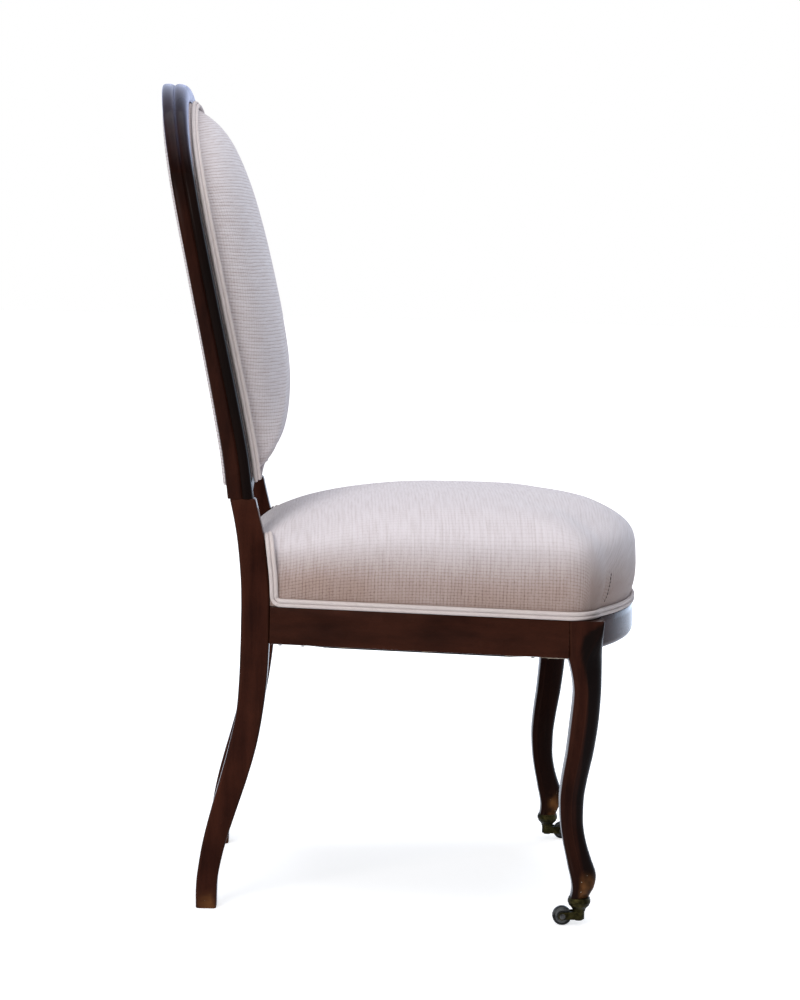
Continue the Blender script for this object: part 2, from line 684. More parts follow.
def frontRailMesh():
    top, low = chair["railTop"], chair["railTop"] - chair["frontRailHeight"]
    t, r, e = chair["railDepth"], frontRail["roll"], frontRail["top"]
    section = [(0, low), (0, top), (t - e, top), (t - 0.3 * e, top - 0.3 * e), (t, top - e)]
    section += [(t, mix(top - e, low + r, k / 4)) for k in range(1, 4)]
    for k in range(frontRail["rollSteps"] + 1):
        a = math.pi / 2 * k / frontRail["rollSteps"]
        section.append((t - r + r * math.cos(a), low + r - r * math.sin(a)))
    rings, reach = [], kneeX - frontRail["room"]
    for j in range(frontRail["steps"] + 1):
        x = mix(-reach, reach, j / frontRail["steps"])
        rings.append([(x, bowAt(x, bowRadius - t + out), z) for out, z in section])
    return loftMesh("frontSeatRail", rings, angle=40)


addPiece("frontSeatRail", frontRailMesh(), mahoganyAcross, replaced=["front_seat_rail"])

# front legs: cabriole, with an arris between the side and the rounded front

frontLeg = {
    "sweep": 15, "castor": 32.5, "steps": 110, "toe": (46, 68, -206), "carve": (14, 12), "soft": 0.12,
    "sideShade": (0.72, 0.12), "shadeRise": 1.25, "backShade": 0.6, "innerShade": 0.75, "points": (9, 13, 12),
    "shares": [(0, 0.49, 0.52), (0.016, 0.35, 0.55), (0.045, 0.11, 0.63), (0.089, -0.03, 0.735),
               (0.118, 0.07, 0.75), (0.161, 0.37, 0.7), (0.223, 0.73, 0.66), (0.288, 0.96, 0.65),
               (0.35, 1, 0.675), (0.411, 0.96, 0.705), (0.476, 0.8, 0.735), (0.538, 0.6, 0.76),
               (0.6, 0.4, 0.78), (0.723, 0.13, 0.81), (0.85, 0.01, 0.795), (0.911, 0, 0.84), (0.973, 0, 0.94),
               (1, 0, 1)],
    "outerSide": [(0.02, 0.8), (0.08, 0.93), (0.2, 1), (0.82, 1), (0.94, 0.96), (1, 0.86), (1, 0.7), (1, 0.54)],
    "frontSide": [(1, 0.54), (0.93, 0.43), (0.85, 0.31), (0.75, 0.17), (0.62, 0.06), (0.46, 0), (0.28, 0.03),
                  (0.14, 0.11), (0.05, 0.25), (0.01, 0.45), (0.02, 0.8)],
    "kneeOuter": [(0, 0.95), (0.01, 0.98), (0.04, 1), (0.9, 1), (0.97, 0.985), (1, 0.93), (1, 0.5), (1, 0.08)],
    "kneeFront": [(1, 0.08), (0.985, 0.045), (0.96, 0.02), (0.9, 0.006), (0.75, 0), (0.5, 0), (0.3, 0),
                  (0.08, 0), (0.01, 0.02), (0, 0.2), (0, 0.95)],
    "black": [(33, 0.5), (59, 0.48), (87, 0.39), (110, 0.34), (144, 0.35), (167, 0.35), (201, 0.45),
              (236, 0.47), (270, 0.52), (300, 0.61), (313, 0.65), (325, 0.65), (334, 0.57), (341, 0.38),
              (349, 0.05), (351, 0)],  # height, darkened share
}


def legSection(s):  # from the rounded leg to the square knee
    outer = mix(softLine(frontLeg["outerSide"], 3), softLine(frontLeg["kneeOuter"], 3), s)
    front = mix(softLine(frontLeg["frontSide"], 4), softLine(frontLeg["kneeFront"], 4), s)
    return np.vstack([outer[:-1], front[:-1]])


def legShade(section, z, h):  # black from the front to a limit on the side, brown on the side, softer behind
    back, outer, inner = frontLeg["points"]
    side = mix(*frontLeg["sideShade"], float(smooth(h * frontLeg["shadeRise"])))
    dark = [frontLeg["backShade"]] * back + [side] * outer
    dark += [1.0] * (len(section) - back - outer - inner) + [frontLeg["innerShade"]] * inner
    u, v = section.T
    black = smooth((through(frontLeg["black"], z) - v) / frontLeg["soft"] + 0.5)
    return np.where((u > 0.5) & (np.arange(len(section)) >= back), mix(side, 1.0, black), dark)


def frontLegMesh():
    low, top = frontLeg["castor"], chair["railTop"]
    under, over = frontLeg["carve"]
    rings, shade = [], []
    for j in range(frontLeg["steps"] + 1):
        z = low + (top - low) * j / frontLeg["steps"]
        h = min(1.0, (z - low) / (railZ - low))
        sweep, thick = through(frontLeg["shares"], h, 1), through(frontLeg["shares"], h, 2)
        section = legSection(float(smooth((z - railZ + under) / (top - railZ + over))))
        x0, w = chair["frontWidth"] / 2 - frontLeg["sweep"] * sweep, chair["legWidth"] * thick
        y0, d = frontLeg["sweep"] * sweep - chair["frontY"], chair["legDepth"] * thick
        rings.append([(x0 - (1 - u) * w, y0 + v * d, z) for u, v in section])
        shade.append(legShade(section, z, h))
    mesh = loftMesh("frontLeg", rings, angle=26, shade=shade)
    markToe(mesh, *frontLeg["toe"])
    return mesh


addPair("frontLeg", "front_leg_", frontLegMesh())

# CAD nodes kept in shape: a merged copy, its edges softened

def dressNode(node, name, material, body="frame", bevel=0.0):
    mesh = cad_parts[node].data.copy()
    bm = bmesh.new()
    bm.from_mesh(mesh)
    bmesh.ops.remove_doubles(bm, verts=bm.verts, dist=0.00001)
    if bevel:
        bmesh.ops.dissolve_limit(bm, angle_limit=math.radians(1), verts=bm.verts, edges=bm.edges)
        sharp = [e for e in bm.edges if len(e.link_faces) == 2 and e.calc_face_angle() > math.radians(30)]
        bmesh.ops.bevel(bm, geom=sharp, offset=bevel, segments=2, profile=0.6, affect="EDGES")
    bm.to_mesh(mesh)
    bm.free()
    return addPiece(name, finishMesh(mesh), material, body, [node])


softEdge = 0.0008
for side in ("left", "right"):
    end = side.capitalize()
    dressNode("side_rail_" + side, "sideRail" + end, mahoganyDeep, bevel=softEdge)
dressNode("back_seat_rail", "backSeatRail", mahoganyAcross, bevel=softEdge)
dressNode("corner_blocks", "cornerBlocks", beechAcross, bevel=softEdge)
dressNode("crest_dowels", "crestDowels", beechAcross)
print("seat frame and legs ready")

# castors

for side in ("left", "right"):
    end = side.capitalize()
    dressNode("castor_cup_" + side, "castorCup" + end, agedBrass)
    dressNode("castor_pin_" + side, "castorPin" + end, dullSteel)
    dressNode("castor_fork_" + side, "castorFork" + end, agedBrass, "castor_fork_" + side)
    dressNode("castor_axle_" + side, "castorAxle" + end, dullSteel, "castor_fork_" + side)
    dressNode("castor_wheel_" + side, "castorWheel" + end, wornWheel, "castor_wheel_" + side)
print("castors dressed")

# simulation of the stuffed pieces

stuffing = {
    "pressure": 4.0, "frames": 16, "quality": 4, "tension": 18, "bending": 1.5, "evening": 30,
    "eveningShare": 0.7, "seed": 7,
}


def swell(piece, held, cap):  # cloth pressure from inside; held is 0 to 1 per vertex, cap in mm
    start = meshPoints(piece.data)
    group = piece.vertex_groups.new(name="held")
    for i, weight in enumerate(held):
        group.add([i], float(weight), "REPLACE")
    modifier = piece.modifiers.new("cloth", "CLOTH")
    cloth = modifier.settings
    cloth.quality = stuffing["quality"]
    cloth.use_pressure = True
    cloth.uniform_pressure_force = stuffing["pressure"]
    cloth.tension_stiffness = stuffing["tension"]
    cloth.compression_stiffness = stuffing["tension"]
    cloth.bending_stiffness = stuffing["bending"]
    cloth.vertex_group_mass = "held"
    cloth.effector_weights.gravity = 0
    modifier.collision_settings.use_self_collision = False
    for number in range(1, stuffing["frames"] + 1):
        scene.frame_set(number)
    evaluated = piece.evaluated_get(bpy.context.evaluated_depsgraph_get())
    move = meshPoints(evaluated.data) - start
    piece.modifiers.remove(modifier)
    scene.frame_set(1)
    piece.vertex_groups.remove(group)
    ends = np.empty(len(piece.data.edges) * 2, int)
    piece.data.edges.foreach_get("vertices", ends)
    a, b = np.concatenate([ends[::2], ends[1::2]]), np.concatenate([ends[1::2], ends[::2]])
    for _ in range(stuffing["evening"]):  # the padding under the cover evens out small wrinkles
        around = np.stack([np.bincount(a, move[b, k], len(start)) for k in range(3)], 1)
        move = mix(move, around / np.bincount(a, minlength=len(start))[:, None], stuffing["eveningShare"])
    length = np.linalg.norm(move, axis=1)
    move *= np.minimum(1, cap * (1 - held) / np.maximum(length, 1e-6))[:, None]
    setPoints(piece.data, start + move)
    print(piece.name, "swelled by up to", round(float(length.max()), 1), "mm, kept within", cap)


def above(high, start, span):  # 0 up to start, 1 from a span above it
    return smooth((high - start) / span)


def bumps(points, seed, size, height, waves=14):  # gentle lumps of the filling
    rng = np.random.default_rng(seed)
    total = np.zeros(len(points))
    for _ in range(waves):
        direction = unit(rng.normal(size=3))
        along = points @ direction * 2 * math.pi / (size * rng.uniform(0.7, 1.6))
        total += np.sin(along + rng.uniform(0, 2 * math.pi))
    return total * height / waves ** 0.5


def subdivide(piece):
    modifier = piece.modifiers.new("fine", "SUBSURF")
    modifier.levels = 1
    modifier.render_levels = 1
    modifier.use_limit_surface = False  # the limit surface takes a minute at the crown's pole
    mesh = bakedMesh(piece)
    piece.modifiers.remove(modifier)
    piece.data = mesh


def padMesh(name, rows, uvRows, soilRows, base):  # rings from the rim to the crown, then a flat underside
    uv = [np.vstack([row, row[:1]]) for row in (uvRows[0], *uvRows)]
    mesh = loftMesh(name, [base, *rows], uv, angle=180)
    soil = np.repeat([soilRows[0], *soilRows], len(rows[0]))
    storeValue(mesh, "soil", [*soil, soilRows[0], soilRows[-1]])
    return mesh


# seat cushion

seat = {
    "rise": 123.5, "bulge": 5.5, "drop": 0.25, "wallIn": 3.5, "points": 216, "rows": 38, "cap": 4.5,
    "lumps": 0.7, "lumpSize": 150, "postGap": 0.4, "snap": 5, "soilFrom": (0.22, 0.5), "corner": 35 / 3,
    "size": (250, 123), "lumpsFrom": (0.15, 0.3), "freeFrom": (0.1, 0.12), "rimShare": 0.985,
    "drawnIn": 0.8, "flare": 0.85, "frontDrop": 1.4, "middleShare": 0.6, "backCut": 2, "cornerPoints": 10,
    "bowPoints": 30,
    "dome": [(1, 0, 0), (1, 0.08, 0), (1, 0.17, 0.5), (1, 0.32, 0.85), (1, 0.49, 1), (0.993, 0.63, 1),
             (0.965, 0.725, 1), (0.91, 0.8, 1), (0.82, 0.865, 1), (0.7, 0.925, 1), (0.5, 0.975, 1),
             (0.25, 0.997, 1), (0.04, 1, 1)],  # scale, height, bulge
}
seatBaseZ = chair["railTop"] + chair["gap"]
roomX = postInX - post["ledge"] - seat["postGap"]


def seatOutline(count):  # from the middle of the back over the left side and the bow, then mirrored
    half, back, cut = chair["backWidth"] / 2, chair["backY"], seat["backCut"]
    a = (sideX(legBackY), legBackY)
    c = (kneeX, bowAt(kneeX, bowRadius))
    b = (chair["frontWidth"] / 2, c[1] + seat["corner"])
    points = [(0, back), (half - cut, back), (half, back - cut), (half, seatPostY), a]
    points += [tuple((1 - s) ** 2 * a[k] + 2 * s * (1 - s) * b[k] + s * s * c[k] for k in (0, 1))
               for s in np.linspace(0.1, 1, seat["cornerPoints"])]
    points += [(x, bowAt(x, bowRadius)) for x in np.linspace(kneeX, 0, seat["bowPoints"])[1:]]
    return evenly(points + [(-x, y) for x, y in points[-2:0:-1]], count)


def loopNormals(loop):
    run = unit(np.roll(loop, -1, 0) - np.roll(loop, 1, 0))
    return np.stack([-run[:, 1], run[:, 0]], 1)


def softened(values, times):
    for _ in range(times):
        values = (np.roll(values, 1, 0) + 2 * values + np.roll(values, -1, 0)) / 4
    return values


def seatWall():  # outline, its normals, and how far the posts draw it in
    loop = softened(seatOutline(seat["points"]), 2)
    normal = unit(softened(loopNormals(loop), 3))
    toPost = np.hypot(np.abs(loop[:, 0]) - chair["backWidth"] / 2, loop[:, 1] - seatPostY)
    return loop, normal, smooth(1 - toPost / (2 * chair["postWidth"]))


def seatRing(wall, scale, height, bulge):
    loop, normal, drawIn = wall
    out = mix(-seat["wallIn"], seat["bulge"] * (1 - seat["drawnIn"] * drawIn), bulge)
    middle = np.array([0, seatMidY])
    width = mix(chair["backWidth"], chair["frontWidth"], seat["middleShare"])
    half = np.array([width / 2, chair["backY"] - seatMidY])
    v = loop + normal * out[:, None] - middle
    v = scale * mix(v / np.linalg.norm(v / half, axis=1)[:, None], v, scale)
    f = np.maximum(0, v[:, 1] / half[1])
    lower = 1 - seat["drop"] * f * f * min(1, seat["frontDrop"] * height)
    return np.column_stack([v + middle, seatBaseZ + seat["rise"] * height * lower])


def domeTable(spec, count):  # evenly spaced rows of a dome's profile
    table = softLine(spec["dome"], 8)
    size = [*spec["size"], 4][:table.shape[1]]
    return evenly(table * size, count, closed=False) / size


def seatRows(wall):  # the threads run along each rail and change direction at the corner pleats
    rows, uvs, soil = [], [], []
    pull = unit(wall[1] * np.abs(wall[1]) ** seat["snap"])
    extra = np.zeros(len(wall[0]))
    last = None
    for scale, height, bulge in domeTable(seat, seat["rows"])[::-1]:
        row = seatRing(wall, scale, height, bulge)
        if last is not None:
            step = row - last
            level = np.linalg.norm(step[:, :2], axis=1) * np.sign((step[:, :2] * wall[1]).sum(1))
            extra += np.linalg.norm(step, axis=1) - level
        last = row
        rows.append(row)
        flare = np.array([chair["backWidth"] / 2 / sideX(max(y, legBackY)) for y in row[:, 1]])
        flat = row[:, :2] * np.column_stack([mix(1, flare, seat["flare"] * scale), np.ones(len(row))])
        uvs.append(flat + pull * extra[:, None])
        soil.append(float(1 - above(height, *seat["soilFrom"])))
    return rows[::-1], uvs[::-1], soil[::-1]


def tuckAtPosts(mesh):  # the cover wraps the front and the inner side of each post
    co = meshPoints(mesh)
    front = np.array([postFront(max(z, chair["railTop"])) for z in co[:, 2]]) - seat["postGap"]
    deep = co[:, 1] - front
    wide = np.abs(co[:, 0]) - roomX
    inside = (deep > 0) & (wide > 0)
    aside = inside & (wide < deep)
    ahead = inside & ~aside
    co[aside, 0] = np.sign(co[aside, 0]) * roomX
    co[ahead, 1] = front[ahead]
    setPoints(mesh, co)


def makeSeat():
    rows, uvs, soil = seatRows(seatWall())
    rim = rows[0] * [seat["rimShare"], seat["rimShare"], 1]
    mesh = padMesh("seatCushion", rows, uvs, soil, rim)
    piece = addPiece("seatCushion", mesh, coverCloth,
                     replaced=["seat_cover", "seat_stuffing"])
    co = meshPoints(mesh)
    high = np.clip((co[:, 2] - seatBaseZ) / seat["rise"], 0, 1)
    lumps = bumps(co, stuffing["seed"], seat["lumpSize"], seat["lumps"])
    co[:, 2] += lumps * above(high, *seat["lumpsFrom"])
    setPoints(mesh, co)
    swell(piece, 1 - above(high, *seat["freeFrom"]), seat["cap"])
    subdivide(piece)
    tuckAtPosts(piece.data)
    return piece


seatCushion = makeSeat()
print("seat cushion made")

# back pad

pad = {
    "depth": 59.5, "middle": 712, "back": 4.65, "points": 200, "rows": 36, "cap": 4.5, "lumps": 0.6,
    "lumpSize": 160, "size": (200, 64), "lumpsFrom": (0.2, 0.3), "freeFrom": (0.14, 0.15),
    "rimShare": 0.98, "footShare": 0.96, "soil": 0.35, "soilFrom": (0.05, 0.5), "room": 1.5,
    "sidePoints": 90, "footPoints": 24,
    "dome": [(1, 0), (1, 0.075), (0.965, 0.17), (0.93, 0.35), (0.885, 0.52), (0.84, 0.63), (0.79, 0.715),
             (0.72, 0.79), (0.62, 0.858), (0.48, 0.925), (0.28, 0.98), (0.04, 1)],  # scale, height
}
padIn = (1 - moulding["rebateShare"]) * chair["frameWidth"] + pad["room"]
padLowZ = chair["shoulder"] + lowRail["width"] * (1 - moulding["rebateShare"]) + chair["gap"]


def padLoop(count):
    start = (padLowZ + lowRise(chair["waistWidth"] / 2 - padIn) - chair["shoulder"]) / sideHeight
    side = np.array([inset(t, padIn) for t in np.linspace(start, 2, pad["sidePoints"])])
    reach = side[0][0] * pad["footShare"]
    foot = [(x, padLowZ + lowRise(x)) for x in np.linspace(reach, -reach, pad["footPoints"])]
    return evenly(np.vstack([side * [-1, 1], side[-2::-1], foot]), count)


def padNormals(loop, times):
    normal = softened(loopNormals(loop), times)
    return normal * np.sign(((loop - [0, pad["middle"]]) * normal).sum())


def padRows():
    loop = softened(padLoop(pad["points"]), 2)
    normal = padNormals(loop, 3)
    half = np.array([chair["balloonWidth"] / 2 - padIn, (chair["height"] - padIn - padLowZ) / 2])
    rows, uvs, soil = [], [], []
    extra = np.zeros(len(loop))
    last = None
    for scale, height in domeTable(pad, pad["rows"])[::-1]:
        v = loop - [0, pad["middle"]]
        v = scale * mix(v / np.linalg.norm(v / half, axis=1)[:, None], v, scale)
        z = v[:, 1] + pad["middle"]
        y = np.array([faceY(k) for k in z]) + pad["back"] - (pad["depth"] + pad["back"]) * height
        row = np.column_stack([v[:, 0], y, z])
        if last is not None:
            step = row - last
            extra += np.maximum(0, np.linalg.norm(step, axis=1) - np.linalg.norm(step[:, [0, 2]], axis=1))
        last = row
        rows.append(row)
        uvs.append(row[:, [0, 2]] + normal * extra[:, None])
        soil.append(float(pad["soil"] * (1 - above(height, *pad["soilFrom"]))))
    return rows[::-1], uvs[::-1], soil[::-1]


def makePad():
    rows, uvs, soil = padRows()
    mesh = padMesh("backPad", rows, uvs, soil, rows[0] * [pad["rimShare"], 1, 1])
    piece = addPiece("backPad", mesh, backCloth, replaced=["back_cover", "back_stuffing"])
    co = meshPoints(mesh)
    high = np.array([faceY(z) for z in co[:, 2]]) + pad["back"] - co[:, 1]
    high = np.clip(high / (pad["depth"] + pad["back"]), 0, 1)
    lumps = bumps(co, stuffing["seed"] + 1, pad["lumpSize"], pad["lumps"])
    co[:, 1] += lumps * above(high, *pad["lumpsFrom"])
    setPoints(mesh, co)
    swell(piece, 1 - above(high, *pad["freeFrom"]), pad["cap"])
    subdivide(piece)
    return piece


makePad()
print("back pad made")

# double piping: two covered cords side by side

piping = {
    "height": 9.5, "radius": 2.45, "sides": 12, "seatPoints": 460, "backPoints": 420, "leans": (30, 45),
    "cordShares": (0.26, 0.76), "webShare": 0.51, "webSides": 6, "webSize": 0.8, "webOut": 0.45,
    "proud": 0.1, "end": 0.25, "ahead": 0.6, "turn": 12.0, "turnOut": 0.3, "postReach": 22,
    "turnPoints": 12, "wallRows": 90, "outlinePoints": 700,
}


def tubeRings(path, radius, sides):
    path = np.asarray(path, float)
    run = unit(np.gradient(path, axis=0))
    side = unit(np.cross(run[0], [0.3, 0.2, 1]))
    angles = np.arange(sides) * 2 * math.pi / sides
    girth = radius * 2 * math.pi * np.arange(sides + 1) / sides
    rings, uv = [], []
    length = 0.0
    for k, (p, d) in enumerate(zip(path, run)):
        side = unit(side - d * side.dot(d))
        up = np.cross(d, side)
        if k:
            length += np.linalg.norm(p - path[k - 1])
        size = radius * (piping["end"] if k in (0, len(path) - 1) else 1)
        rings.append([p + size * (math.cos(a) * side + math.sin(a) * up) for a in angles])
        uv.append(np.column_stack([girth + length, length - girth]))
    return rings, uv


def cordMesh(name, path, radius, sides):
    rings, uv = tubeRings(path, radius, sides)
    return loftMesh(name, rings, uv, angle=60)


def doublePiping(name, path, outward, upward):
    cords = []
    for share in piping["cordShares"]:
        line = path + outward * (piping["radius"] + piping["proud"]) + upward * (piping["height"] * share)
        cords.append(cordMesh(name, line, piping["radius"], piping["sides"]))
    out, up = piping["radius"] * piping["webOut"], piping["height"] * piping["webShare"]
    web = path + outward * out + upward * up
    cords.append(cordMesh(name, web, piping["radius"] * piping["webSize"], piping["webSides"]))
    return joinMeshes(name, cords)


def besidePost():  # where the cushion meets the front of the left post, from the rail to its top
    wall = seatWall()
    places, outs = [], []
    rings = [seatRing(wall, *row) for row in domeTable(seat, piping["wallRows"])]
    for k, ring in enumerate(rings):
        gap = np.array([p[1] - postFront(max(p[2], chair["railTop"])) + seat["postGap"] for p in ring])
        after = np.roll(gap, -1)
        for i in np.where((ring[:, 0] > roomX) & (gap * after <= 0) & (gap != after))[0]:
            j = (i + 1) % len(ring)
            up = rings[min(k + 1, len(rings) - 1)][i] - rings[max(k - 1, 0)][i]
            out = np.cross(up, ring[j] - ring[i])
            places.append(mix(ring[i], ring[j], gap[i] / (gap[i] - after[i])))
            outs.append(unit(out * np.sign(out[0])))
            break
    return np.array(places), np.array(outs)


def seatPipingPath():  # down beside the left post, round the turn and along the rails to the right post
    turn = piping["turn"]
    places, outs = besidePost()
    keep = (places[:, 0] > chair["backWidth"] / 2 - piping["postReach"]) & (places[:, 2] > seatBaseZ + turn)
    side, out = list(places[keep][::-1]), list(outs[keep][::-1])
    y0 = side[-1][1]
    for a in np.linspace(0, math.pi / 2, piping["turnPoints"])[1:]:
        h, y = turn * (1 - math.sin(a)), y0 - turn * (1 - math.cos(a))
        side.append((sideX(y) - seat["wallIn"] + piping["turnOut"] * h / turn, y, seatBaseZ + h))
        out.append((1, 0, 0))
    loop = seatOutline(piping["outlinePoints"])
    normal = softened(loopNormals(loop), 6)
    loop = loop - normal * seat["wallIn"]
    ahead = loop[:, 1] < y0 - turn - 1
    run = np.column_stack([loop[ahead], np.full(ahead.sum(), seatBaseZ)])
    runOut = np.column_stack([normal[ahead], np.zeros(ahead.sum())])
    both = np.hstack([np.vstack([side, run]), np.vstack([out, runOut])])
    other = both[:len(side)][::-1] * [-1, 1, 1, -1, 1, 1]
    line = evenly(np.vstack([both, other]), piping["seatPoints"], closed=False, along=3)
    return line[:, :3], line[:, 3:]


def bandFrame(path, out):  # outward made square to the path, and the direction across the band
    for _ in range(4):
        out[1:-1] = (out[:-2] + 2 * out[1:-1] + out[2:]) / 4
    run = unit(np.gradient(path, axis=0))
    out = unit(out - run * (out * run).sum(1)[:, None])
    return out, np.cross(run, out)


def makeSeatPiping():
    path, out = seatPipingPath()
    out, up = bandFrame(path, out)
    up = up * np.sign(up[len(path) // 2, 2])
    mesh = doublePiping("seatPiping", path, out, up)
    addPiece("seatPiping", mesh, cordCloth, replaced=["seat_piping"])


def makeBackPiping():
    loop = evenly(padLoop(piping["backPoints"]), piping["backPoints"])
    loop = np.roll(loop, -int(np.argmin(loop[:, 1] + 0.001 * np.abs(loop[:, 0]))), 0)
    normal = padNormals(loop, 4)
    path = np.array([(x, faceY(z) - piping["ahead"], z) for x, z in np.vstack([loop, loop[:1]])])
    normal = np.vstack([normal, normal[:1]])
    lean = np.radians(mix(*piping["leans"], smooth(normal[:, 1])))
    out = np.column_stack([normal[:, 0] * np.cos(lean), -np.sin(lean), normal[:, 1] * np.cos(lean)])
    out, up = bandFrame(path, out)
    up = up * -np.sign(up[0, 1])
    mesh = doublePiping("backPiping", path, out, up)
    addPiece("backPiping", mesh, cordCloth, replaced=["back_piping"])


makeSeatPiping()
makeBackPiping()
print("piping laid")

# cloth panel behind the back

panel = {
    "thick": 5.5, "edge": 9, "crestEdge": 16.5, "lowShare": 0.55, "top": 1.97, "steps": 60, "across": 40,
    "seam": 0.64, "fullness": 6, "undercut": 0.995,
}


def panelEdge(t):
    return inset(t, mix(panel["edge"], panel["crestEdge"], float(smooth(min(t, 4 - t)))))


def makePanel():
    start = lowRail["width"] * panel["lowShare"] / sideHeight
    span = np.cos(np.linspace(0, math.pi, panel["across"] + 1))
    puff = panel["seam"] + (panel["thick"] - panel["seam"]) * (1 - abs(span) ** panel["fullness"]) ** 0.5
    rings, uv = [], []
    for t in np.linspace(start, panel["top"], panel["steps"] + 1):
        x, z = panelEdge(t)
        y = faceY(z) + frameDepth(z) + chair["gap"]
        outer = [(x * s, y + out, z) for s, out in zip(span, puff)]
        rings.append(outer + [(x * s * panel["undercut"], y, z) for s in span[::-1]])
        line = [(x * s, z) for s in (*span, *span[::-1])]
        uv.append(line + line[:1])
    mesh = loftMesh("outsideBack", rings, uv, angle=70)
    piece = addPiece("outsideBack", mesh, backCloth, replaced=["outside_back"])
    return piece


makePanel()
print("outside back covered")

# inside of the seat and back: springs by a node tree, straps and canvas as woven copies

def bakeTree(name, base, tree, values, material, replaced=()):
    holder = addObject(name + "Base", base)
    modifier = holder.modifiers.new("repeat", "NODES")
    modifier.node_group = tree
    inputs = {item.name: item.identifier for item in tree.interface.items_tree if item.in_out == "INPUT"}
    for label, value in {**values, "Material": material}.items():
        modifier[inputs[label]] = value
    mesh = bakedMesh(holder)
    mesh.name = name
    bpy.data.objects.remove(holder)
    return addPiece(name, finishMesh(mesh, 50), material, replaced=replaced)


def repeatOnPoints(tree, into, out, values):  # instances made real, in the group's material
    spread = addNode(tree, "GeometryNodeInstanceOnPoints", values)
    real = addNode(tree, "GeometryNodeRealizeInstances", {0: spread})
    feed(out, {0: addNode(tree, "GeometryNodeSetMaterial", {"Geometry": real, "Material": into["Material"]})})
    return tree


def springTree():
    tree, into, out = newGroup("coilSprings", "GeometryNodeTree", {
        "Geometry": "Geometry", "Turns": 4.0, "Height": 0.084, "Radius": 0.036, "Waist": 0.62, "Wire": 0.0035,
        "Material": "Material"}, {"Geometry": "Geometry"})
    spiral = addNode(tree, "GeometryNodeCurveSpiral", {
        "Resolution": 24, "Rotations": into["Turns"], "Height": into["Height"],
        "Start Radius": into["Radius"], "End Radius": into["Radius"]})
    place = addNode(tree, "GeometryNodeInputPosition")
    x, y, z = (addNode(tree, "ShaderNodeSeparateXYZ", {0: place}, axis) for axis in range(3))
    draw = 1.0 - (z / into["Height"] * math.pi).math("SINE") * (1.0 - into["Waist"])
    waisted = addNode(tree, "ShaderNodeCombineXYZ", {0: x * draw, 1: y * draw, 2: z})
    coil = addNode(tree, "GeometryNodeSetPosition", {"Geometry": spiral, "Position": waisted})
    ring = addNode(tree, "GeometryNodeCurvePrimitiveCircle", {"Resolution": 8, "Radius": into["Wire"] / 2.0})
    wire = addNode(tree, "GeometryNodeCurveToMesh", {"Curve": coil, "Profile Curve": ring, "Fill Caps": True})
    return repeatOnPoints(tree, into, out, {"Points": into["Geometry"], "Instance": wire})


springs = {"height": 84, "diameter": 76, "waist": 46, "wire": 3.5, "turns": 4, "pitchX": 88.4, "pitchY": 74.9}


def makeSprings():
    base = bpy.data.meshes.new("springPlaces")
    z = chair["railTop"] - chair["frontRailHeight"] + chair["gap"] + springs["wire"] / 2
    base.from_pydata([(i * springs["pitchX"] * mm, (seatMidY + j * springs["pitchY"]) * mm, z * mm)
                      for i, j in ((0, 0), (1, 1), (1, -1), (-1, 1), (-1, -1))], [], [])
    radius = (springs["diameter"] - springs["wire"]) / 2
    waist = (springs["waist"] - springs["wire"]) / 2 / radius
    bakeTree("seatSprings", base, springTree(), {
        "Turns": float(springs["turns"]), "Height": (springs["height"] - springs["wire"]) * mm,
        "Radius": radius * mm, "Waist": waist, "Wire": springs["wire"] * mm},
        springWire, ["seat_springs"])


makeSprings()


def wovenNode(node, name, material, up):  # copy of a flat CAD node, its weave across x and up one axis
    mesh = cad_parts[node].data.copy()
    while mesh.uv_layers:
        mesh.uv_layers.remove(mesh.uv_layers[0])
    layer = mesh.uv_layers.new(name="weave")
    for loop in mesh.loops:
        co = mesh.vertices[loop.vertex_index].co
        layer.data[loop.index].uv = (co[0], co[up])
    return addPiece(name, finishMesh(mesh, 40), material, replaced=[node])


wovenNode("seat_webbing_lengthwise", "webbingLengthwise", hessian, 1)
wovenNode("seat_webbing_crosswise", "webbingCrosswise", hessian, 1)
wovenNode("spring_canvas", "springCanvas", hessian, 1)
wovenNode("back_webbing", "backWebbing", hessian, 2)
wovenNode("back_canvas", "backCanvas", hessian, 2)
wovenNode("bottom_cloth", "bottomCloth", blackCloth, 1)
print("springs, straps and canvas done")

# small repeats along a line: tacks under the seat, threads and stitches

def rowTree():
    tree, into, out = newGroup("rowAlongLine", "GeometryNodeTree", {
        "Geometry": "Geometry", "Spacing": 0.02, "Size": (0.003, 0.003, 0.001), "Detail": 2, "Jitter": 0.0,
        "Material": "Material"}, {"Geometry": "Geometry"})
    line = addNode(tree, "GeometryNodeMeshToCurve", {0: into["Geometry"]})
    points = addNode(tree, "GeometryNodeCurveToPoints", {"Curve": line, "Length": into["Spacing"]}, "Points",
                     mode="LENGTH")
    ball = addNode(tree, "GeometryNodeMeshIcoSphere", {"Radius": 1.0, "Subdivisions": into["Detail"]})
    turn = addNode(tree, "FunctionNodeAlignRotationToVector", {"Vector": points.beside("Tangent")}, axis="X")
    least, most = 1.0 - into["Jitter"], into["Jitter"] + 1.0
    chance = addNode(tree, "FunctionNodeRandomValue", {"Seed": 11, "Min": least, "Max": most},
                     data_type="FLOAT_VECTOR")
    size = addNode(tree, "ShaderNodeVectorMath", {0: chance, 1: into["Size"]}, operation="MULTIPLY")
    return repeatOnPoints(tree, into, out, {
        "Points": points, "Instance": ball, "Rotation": turn, "Scale": size})


rowOfThings = rowTree()


